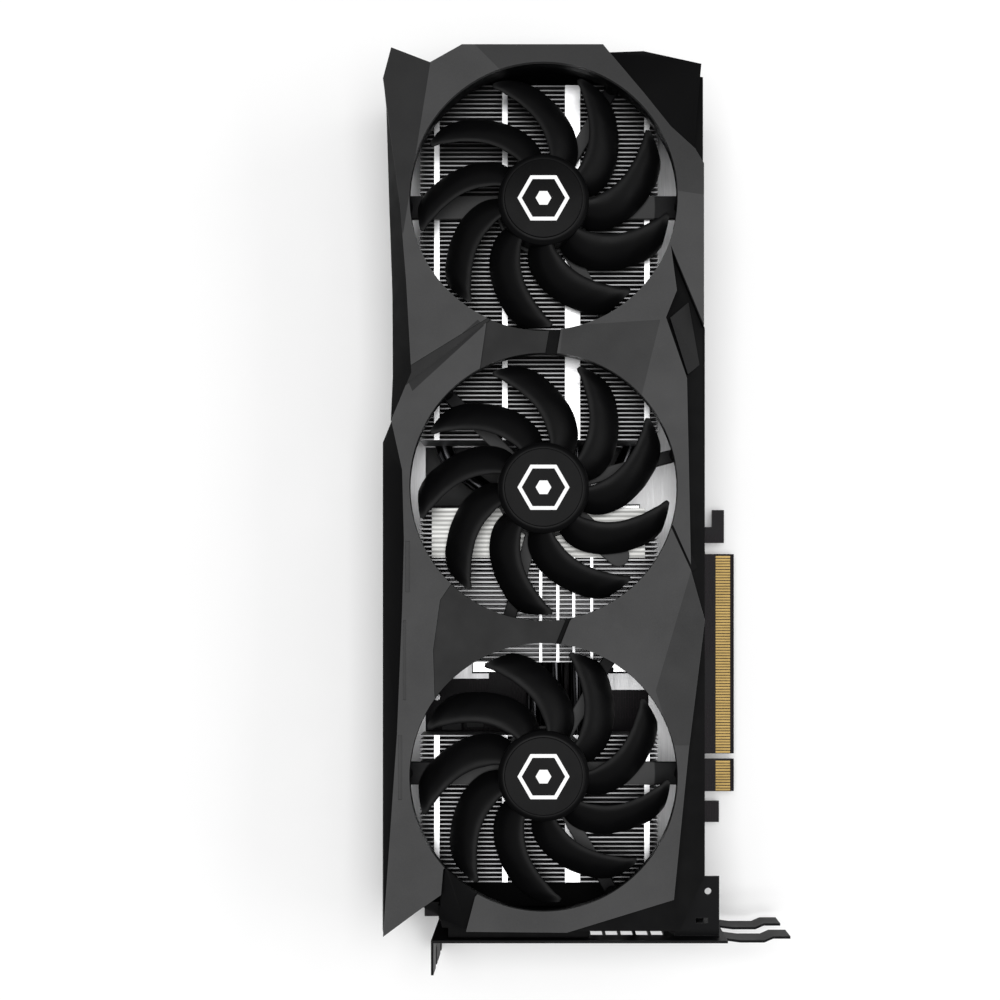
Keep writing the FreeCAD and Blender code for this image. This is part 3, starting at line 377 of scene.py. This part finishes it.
def softened(node, width, segments=2, clamp=False, split=None, detail=None, more_materials=()):
    """A copy of a CAD node with real rounded edges, which stands for it.

    split(bm) cuts its triangles before coplanar ones are joined, and detail(bm) works on the joined faces.
    With clamp, the rounding is never wider than the faces beside an edge allow.
    """
    def build(bm):
        bm.from_mesh(nodes[node].data)
        bmesh.ops.remove_doubles(bm, verts=bm.verts, dist=WELD_DISTANCE)
        if split:
            split(bm)
        bmesh.ops.dissolve_limit(bm, angle_limit=COPLANAR_ANGLE, verts=bm.verts, edges=bm.edges,
                                 delimit={"MATERIAL"})
        if detail:
            detail(bm)

    piece = new_piece(node + "_shell", build, nodes[node].data.materials[0], body_of[node],
                      more_materials)
    bevel = piece.modifiers.new("rounded_edges", "BEVEL")
    bevel.width = width
    bevel.segments = segments
    bevel.limit_method = "ANGLE"
    bevel.angle_limit = SHARP_ANGLE
    bevel.use_clamp_overlap = clamp
    bevel.harden_normals = True
    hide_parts(node)
    return piece


def revolve(bm, profile, centre, segments=96):
    """Closed surface of revolution about a vertical axis.

    The profile's points are (radius, z), and its first and last are at radius 0.
    """
    rings = []
    for radius, z in profile:
        if radius == 0:
            rings.append([bm.verts.new((centre.x, centre.y, z))])
            continue
        ring = []
        for i in range(segments):
            angle = 2 * math.pi * i / segments
            x = centre.x + radius * math.cos(angle)
            y = centre.y + radius * math.sin(angle)
            ring.append(bm.verts.new((x, y, z)))
        rings.append(ring)
    for lower, upper in zip(rings, rings[1:]):
        for i in range(segments):
            j = (i + 1) % segments
            corners = [lower[i % len(lower)], lower[j % len(lower)],
                       upper[j % len(upper)], upper[i % len(upper)]]
            unique = list(dict.fromkeys(corners))
            if len(unique) >= 3:
                bm.faces.new(unique)


def rounded(profile, corner, radius, steps=5):
    """Replaces one corner of a (radius, z) profile by an arc-like curve."""
    before, at, after = (Vector(profile[corner + k]) for k in (-1, 0, 1))
    start = at + (before - at).normalized() * radius
    end = at + (after - at).normalized() * radius
    curve = []
    for i in range(steps + 1):
        t = i / steps
        curve.append(tuple((1 - t) ** 2 * start + 2 * t * (1 - t) * at + t ** 2 * end))
    return profile[:corner] + curve + profile[corner + 1:]


def prism_ring(bm, outer, inner, low, high):
    """Flat ring between two outlines with the same number of corners."""
    loops = []
    for outline, z in ((outer, low), (outer, high), (inner, high), (inner, low)):
        loops.append([bm.verts.new((x, y, z)) for x, y in outline])
    count = len(outer)
    for first, second in zip(loops, loops[1:] + loops[:1]):
        for i in range(count):
            j = (i + 1) % count
            bm.faces.new((first[i], first[j], second[j], second[i]))


def prism_plate(bm, outline, low, high):
    """Flat plate with the outline's shape."""
    bottom = [bm.verts.new((x, y, low)) for x, y in outline]
    top = [bm.verts.new((x, y, high)) for x, y in outline]
    bm.faces.new(bottom[::-1])
    bm.faces.new(top)
    for i in range(len(outline)):
        j = (i + 1) % len(outline)
        bm.faces.new((bottom[i], bottom[j], top[j], top[i]))


# ---------------------------------------------------------------- fans
BLADES = 9
BLADE_SWEEP = math.radians(41)
# the angle of the first blade's tip at rest, in degrees
BLADE_PHASE = {"tail": 17, "middle": 17, "bracket": 21}
BLADE_THICKNESS = 1.3 * MM
BLADE_BELOW_HUB = 1.2 * MM
EDGE_FULLNESS = 4
CAMBER_POWER = 1.7
TIP_ROUNDING = 1.9 * MM
TIP_NARROWING = 0.96
TIP_THINNING = 0.35
# radius, share of the sweep, chord and drop of each station along a blade, with lengths in millimetres
STATIONS = [(14.2, 0.0, 8.0, 6.2), (20.0, 0.13, 11.4, 6.6), (27.0, 0.38, 13.4, 6.7), (34.0, 0.67, 14.0, 6.7),
            (39.0, 0.87, 13.6, 6.4), (42.1, 1.0, 12.6, 6.0)]
HUB_R = 15.2 * MM
CUP_WALL = 1.2 * MM
CUP_LID = 1.4 * MM
CUP_CHAMFER = 1.5 * MM
CUP_LIP = 2.3 * MM
CUP_RECESS = 0.5 * MM
DISC_SINK = 0.4 * MM
DISC_GAP = 0.3 * MM
DISC_ROUNDING = 0.35 * MM
EMBLEM_OUTER = 8.6 * MM
EMBLEM_INNER = 7.2 * MM
EMBLEM_DOT = 2.6 * MM
EMBLEM_SINK = 0.02 * MM
EMBLEM_HEIGHT = 0.1 * MM


def smooth_between(table, x):
    """Catmull-Rom curve through the rows of a table, read at first-column value x."""
    last = len(table) - 2
    i = min(max(k for k in range(last + 1) if table[k][0] <= x), last)
    rows = [table[max(i - 1, 0)], table[i], table[i + 1], table[min(i + 2, last + 1)]]
    t = (x - rows[1][0]) / (rows[2][0] - rows[1][0])
    values = []
    for a, b, c, d in zip(*rows):
        values.append(0.5 * (2 * b + (c - a) * t + (2 * a - 5 * b + 4 * c - d) * t ** 2
                             + (3 * b - a - 3 * c + d) * t ** 3))
    return values[1:]


def add_blade(bm, centre, top, phase, sections=30, steps=14):
    """One swept blade: shallow leading band, steep trailing band, rounded edges and tip."""
    first, last = STATIONS[0][0], STATIONS[-1][0]
    loops = []
    for s in range(sections + 1):
        radius = first + (last - first) * s / sections
        share, chord, drop = smooth_between(STATIONS, radius)
        past = max(0.0, radius * MM - (last * MM - TIP_ROUNDING)) / TIP_ROUNDING
        chord = chord * MM - 2 * TIP_ROUNDING * (1 - math.sqrt(max(0.0, 1 - TIP_NARROWING * past ** 2)))
        sweep = phase + BLADE_SWEEP * (share - 1)
        upper = []
        lower = []
        for k in range(steps + 1):
            along = 0.5 - 0.5 * math.cos(math.pi * k / steps)
            angle = sweep + (0.5 - along) * chord / (radius * MM)
            fullness = math.sqrt(max(0.0, 1 - abs(2 * along - 1) ** EDGE_FULLNESS))
            half = 0.5 * BLADE_THICKNESS * fullness * (1 - TIP_THINNING * past)
            middle = top - 0.5 * BLADE_THICKNESS - drop * MM * along ** CAMBER_POWER
            x = centre.x + radius * MM * math.cos(angle)
            y = centre.y + radius * MM * math.sin(angle)
            upper.append((x, y, middle + half))
            lower.append((x, y, middle - half))
        loops.append([bm.verts.new(p) for p in upper + lower[-2:0:-1]])
    for inner, outer in zip(loops, loops[1:]):
        for i in range(len(inner)):
            j = (i + 1) % len(inner)
            bm.faces.new((inner[i], inner[j], outer[j], outer[i]))
    bm.faces.new(loops[0][::-1])
    bm.faces.new(loops[-1])


def hexagon(centre, size):
    angles = [math.radians(60 * i + 30) for i in range(6)]
    return [(centre.x + size * math.cos(a), centre.y + size * math.sin(a)) for a in angles]


def make_rotor(fan, centre, body):
    """A hub cup with its blades."""
    _, _, low, high = disc_box("rotor_" + fan)
    inner = HUB_R - CUP_WALL
    lip = HUB_R - CUP_LIP

    def build(bm):
        cup = [(0, high - CUP_LID), (inner, high - CUP_LID), (inner, low), (HUB_R, low),
               (HUB_R, high - CUP_CHAMFER), (HUB_R - CUP_CHAMFER, high), (lip, high),
               (lip, high - CUP_RECESS), (0, high - CUP_RECESS)]
        for corner, radius in ((5, 0.5 * MM), (4, 0.5 * MM), (3, 0.3 * MM)):
            cup = rounded(cup, corner, radius)
        revolve(bm, cup, centre)
        for i in range(BLADES):
            phase = math.radians(BLADE_PHASE[fan] + i * 360 / BLADES)
            add_blade(bm, centre, high - BLADE_BELOW_HUB, phase)

    rotor = new_piece("fan_rotor_" + fan, build, materials["fan_plastic"], body)
    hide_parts("rotor_" + fan)


def make_hub_disc(fan, centre, body):
    """The glossy cap in the hub, rounded at its rim."""
    _, radius, low, high = disc_box("hub_cap_" + fan)
    rim = radius - DISC_GAP

    def build(bm):
        disc = [(0, low - DISC_SINK), (rim, low - DISC_SINK), (rim, high), (0, high)]
        revolve(bm, rounded(disc, 2, DISC_ROUNDING), centre)

    disc = new_piece("hub_disc_" + fan, build, materials["hub_gloss"], body)
    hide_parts("hub_cap_" + fan)


def make_emblem(fan, centre, body):
    """A plain hexagon ring and dot on the cap."""
    top = disc_box("hub_cap_" + fan)[3]
    low = top - EMBLEM_SINK
    high = top + EMBLEM_HEIGHT

    def build(bm):
        prism_ring(bm, hexagon(centre, EMBLEM_OUTER), hexagon(centre, EMBLEM_INNER), low, high)
        prism_plate(bm, hexagon(centre, EMBLEM_DOT), low, high)

    new_piece("emblem_" + fan, build, emblem_white, body)


for fan in FANS:
    centre = disc_box("hub_cap_" + fan)[0]
    body = body_of["rotor_" + fan]
    make_rotor(fan, centre, body)
    make_hub_disc(fan, centre, body)
    make_emblem(fan, centre, body)

# ---------------------------------------------------------------- facets of the fascia, drawn with painted shade
# painted shade: darker copies of the fascia grey, standing in for facets that catch less light
FASCIA_PAINTED_SHADES = [moulded("fascia_middle_painted_shade", (0.029, 0.029, 0.0294), 0.5, 0.12, wear_and_edge_highlight=0.3),
                 moulded("fascia_deep_painted_shade", (0.0165, 0.0165, 0.0168), 0.5, 0.12, wear_and_edge_highlight=0.3)]
CUT_DISTANCE = 0.0005 * MM
# painted shade (1 middle, 2 deep) and outline in millimetres of each facet; the front stays flat, and the
# darker greys stand in for facets tilted away from the light
FACETS = [
    (2, [(239, 104.5), (176, 114.5), (176, 125), (245, 125)]),
    (1, [(240, 93), (230, 83), (190, 25), (188.5, 15), (205, 8), (245, 40)]),
    (2, [(147.5, 90), (145.5, 88), (124, 111.5), (127.5, 113)]),
    (1, [(145.5, 62), (147.5, 30), (121, 36.5), (131, 50), (136, 63)]),
    (1, [(64.5, 20), (25.5, 31.5), (7.5, 26), (7.5, 12), (64.5, 12)]),
]


def inside(x, y, outline):
    """True where the point is within the outline, by the number of sides crossed along a ray."""
    crossings = 0
    for (x0, y0), (x1, y1) in zip(outline, outline[1:] + outline[:1]):
        if (y0 > y) != (y1 > y) and x < x0 + (y - y0) * (x1 - x0) / (y1 - y0):
            crossings += 1
    return crossings % 2 == 1


def lay_facets(bm):
    """Splits the front along the facet outlines and gives each facet its painted shade, a darker grey in
    place of light falling unevenly on tilted facets.
    """
    for _, outline in FACETS:
        for (x0, y0), (x1, y1) in zip(outline, outline[1:] + outline[:1]):
            across = Vector((y0 - y1, x1 - x0, 0)).normalized()
            everything = bm.verts[:] + bm.edges[:] + bm.faces[:]
            bmesh.ops.bisect_plane(bm, geom=everything, dist=CUT_DISTANCE,
                                   plane_co=(x0 * MM, y0 * MM, 0), plane_no=across)
    for shade, outline in FACETS:
        for face in bm.faces:
            middle = face.calc_center_median()
            if face.normal.z > 0.5 and inside(middle.x / MM, middle.y / MM, outline):
                face.material_index = shade


# ---------------------------------------------------------------- screw heads
DRIVE_ARM = 1.5 * MM
DRIVE_HALF = 0.42 * MM
DRIVE_DEPTH = 0.45 * MM
DRIVE_TAPER = 0.75
SMALLEST_HEAD_R = 1.8 * MM
FEWEST_RIM_POINTS = 12
ROUNDNESS = 1.03


def is_head(face):
    """True for the round flat end of a screw head, which is wider than the thread's."""
    centre = face.calc_center_median()
    reach = [(v.co - centre).length for v in face.verts]
    is_round = len(reach) > FEWEST_RIM_POINTS and max(reach) < ROUNDNESS * min(reach)
    return is_round and min(reach) > SMALLEST_HEAD_R


def cut_drives(bm):
    """A tapered cross recess in every screw head."""
    arm, half = DRIVE_ARM, DRIVE_HALF
    cross = [(arm, -half), (arm, half), (half, half), (half, arm), (-half, arm), (-half, half),
             (-arm, half), (-arm, -half), (-half, -half), (-half, -arm), (half, -arm), (half, -half)]
    for face in [f for f in bm.faces if is_head(f)]:
        centre = face.calc_center_median()
        normal = face.normal.copy()
        rim = list(face.edges)
        side = Vector((1, 0, 0)) if abs(normal.x) < 0.5 else Vector((0, 1, 0))
        across = normal.cross(side)
        bmesh.ops.delete(bm, geom=[face], context="FACES_ONLY")
        top = [bm.verts.new(centre + a * side + b * across) for a, b in cross]
        floor = centre - DRIVE_DEPTH * normal
        low = [bm.verts.new(floor + DRIVE_TAPER * (a * side + b * across)) for a, b in cross]
        edges = [bm.edges.new((top[i - 1], top[i])) for i in range(len(top))]
        bmesh.ops.triangle_fill(bm, use_beauty=True, edges=rim + edges, normal=normal)
        for i in range(len(top)):
            bm.faces.new((top[i - 1], top[i], low[i], low[i - 1]))
        bm.faces.new(low)


# ---------------------------------------------------------------- rounded edges on the visible shells
softened("shroud_body", width=0.3 * MM, clamp=True)
for node in ("fascia_upper", "fascia_lower"):
    softened(node, width=0.1 * MM, split=lay_facets, more_materials=FASCIA_PAINTED_SHADES)
softened("fascia_inlays", width=0.1 * MM)
softened("side_facet", width=0.2 * MM)
for node in ("bracket", "backplate"):
    softened(node, width=0.2 * MM, clamp=True)
for node in ("backplate_screws", "bracket_screws", "clamp_screws"):
    softened(node, width=0.1 * MM, clamp=True, detail=cut_drives)
for node in ("power_socket_a", "power_socket_b"):
    softened(node, width=0.06 * MM)
for fan in FANS:
    softened("fan_frame_" + fan, width=0.4 * MM, segments=3)

# ---------------------------------------------------------------- floor, light, camera
FLOOR_REACH = 3.0
FLOOR_GAP = 0.02 * MM
AMBIENT = 0.42
LIGHT_TARGET = (0.09, 0.06, 0.0)
CAMERA_PLACE = (0.0471, 0.0679, 0.4998)
CAMERA_SHIFT = (-0.045, 0.125)
LENS_MM = 50
SENSOR_MM = 36


def make_floor():
    """A pale sheet just under the card."""
    mesh = bpy.data.meshes.new("floor")
    z = cad_low.z - FLOOR_GAP
    corners = [(x * FLOOR_REACH, y * FLOOR_REACH, z) for x, y in ((-1, -1), (1, -1), (1, 1), (-1, 1))]
    mesh.from_pydata(corners, [], [(0, 1, 2, 3)])
    floor = bpy.data.objects.new("floor", mesh)
    bpy.context.scene.collection.objects.link(floor)
    material, tree, shader = new_material("pale_floor", (0.93, 0.93, 0.93), 0.9, specular=0.1)
    paper = cloud(tree, place_of(tree), 40 * MM, 3.0)
    tree.links.new(blend(tree, paper, (0.92, 0.92, 0.92), (0.94, 0.94, 0.94)), shader.inputs["Base Color"])
    dress(floor, material)


def make_softbox(name, place, size, power):
    """A rectangular lamp that faces LIGHT_TARGET."""
    lamp = bpy.data.lights.new(name, "AREA")
    lamp.shape = "RECTANGLE"
    lamp.size, lamp.size_y = size
    lamp.energy = power
    obj = bpy.data.objects.new(name, lamp)
    obj.location = place
    obj.rotation_euler = (Vector(LIGHT_TARGET) - Vector(place)).to_track_quat("-Z", "Y").to_euler()
    bpy.context.scene.collection.objects.link(obj)


def make_light():
    """An even white room, a large lamp overhead and a weak one on the side of the fingers."""
    world = bpy.data.worlds.new("studio")
    bpy.context.scene.world = world
    world.use_nodes = True
    background = world.node_tree.nodes["Background"]
    background.inputs["Color"].default_value = (1, 1, 1, 1)
    background.inputs["Strength"].default_value = AMBIENT
    make_softbox("top_softbox", place=(0.09, 0.06, 1.9), size=(1.5, 1.5), power=27)
    make_softbox("finger_side_softbox", place=(0.1, -1.3, 0.9), size=(1.6, 0.6), power=7)


def make_camera():
    """Straight above the card, image-up along +X."""
    lens = bpy.data.cameras.new("camera")
    lens.lens = LENS_MM
    lens.sensor_width = SENSOR_MM
    lens.shift_x, lens.shift_y = CAMERA_SHIFT
    camera = bpy.data.objects.new("camera", lens)
    camera.location = CAMERA_PLACE
    camera.rotation_euler = (0, 0, -math.pi / 2)
    bpy.context.scene.collection.objects.link(camera)
    bpy.context.scene.camera = camera


make_floor()
make_light()
make_camera()
bpy.context.scene.view_settings.view_transform = "Standard"
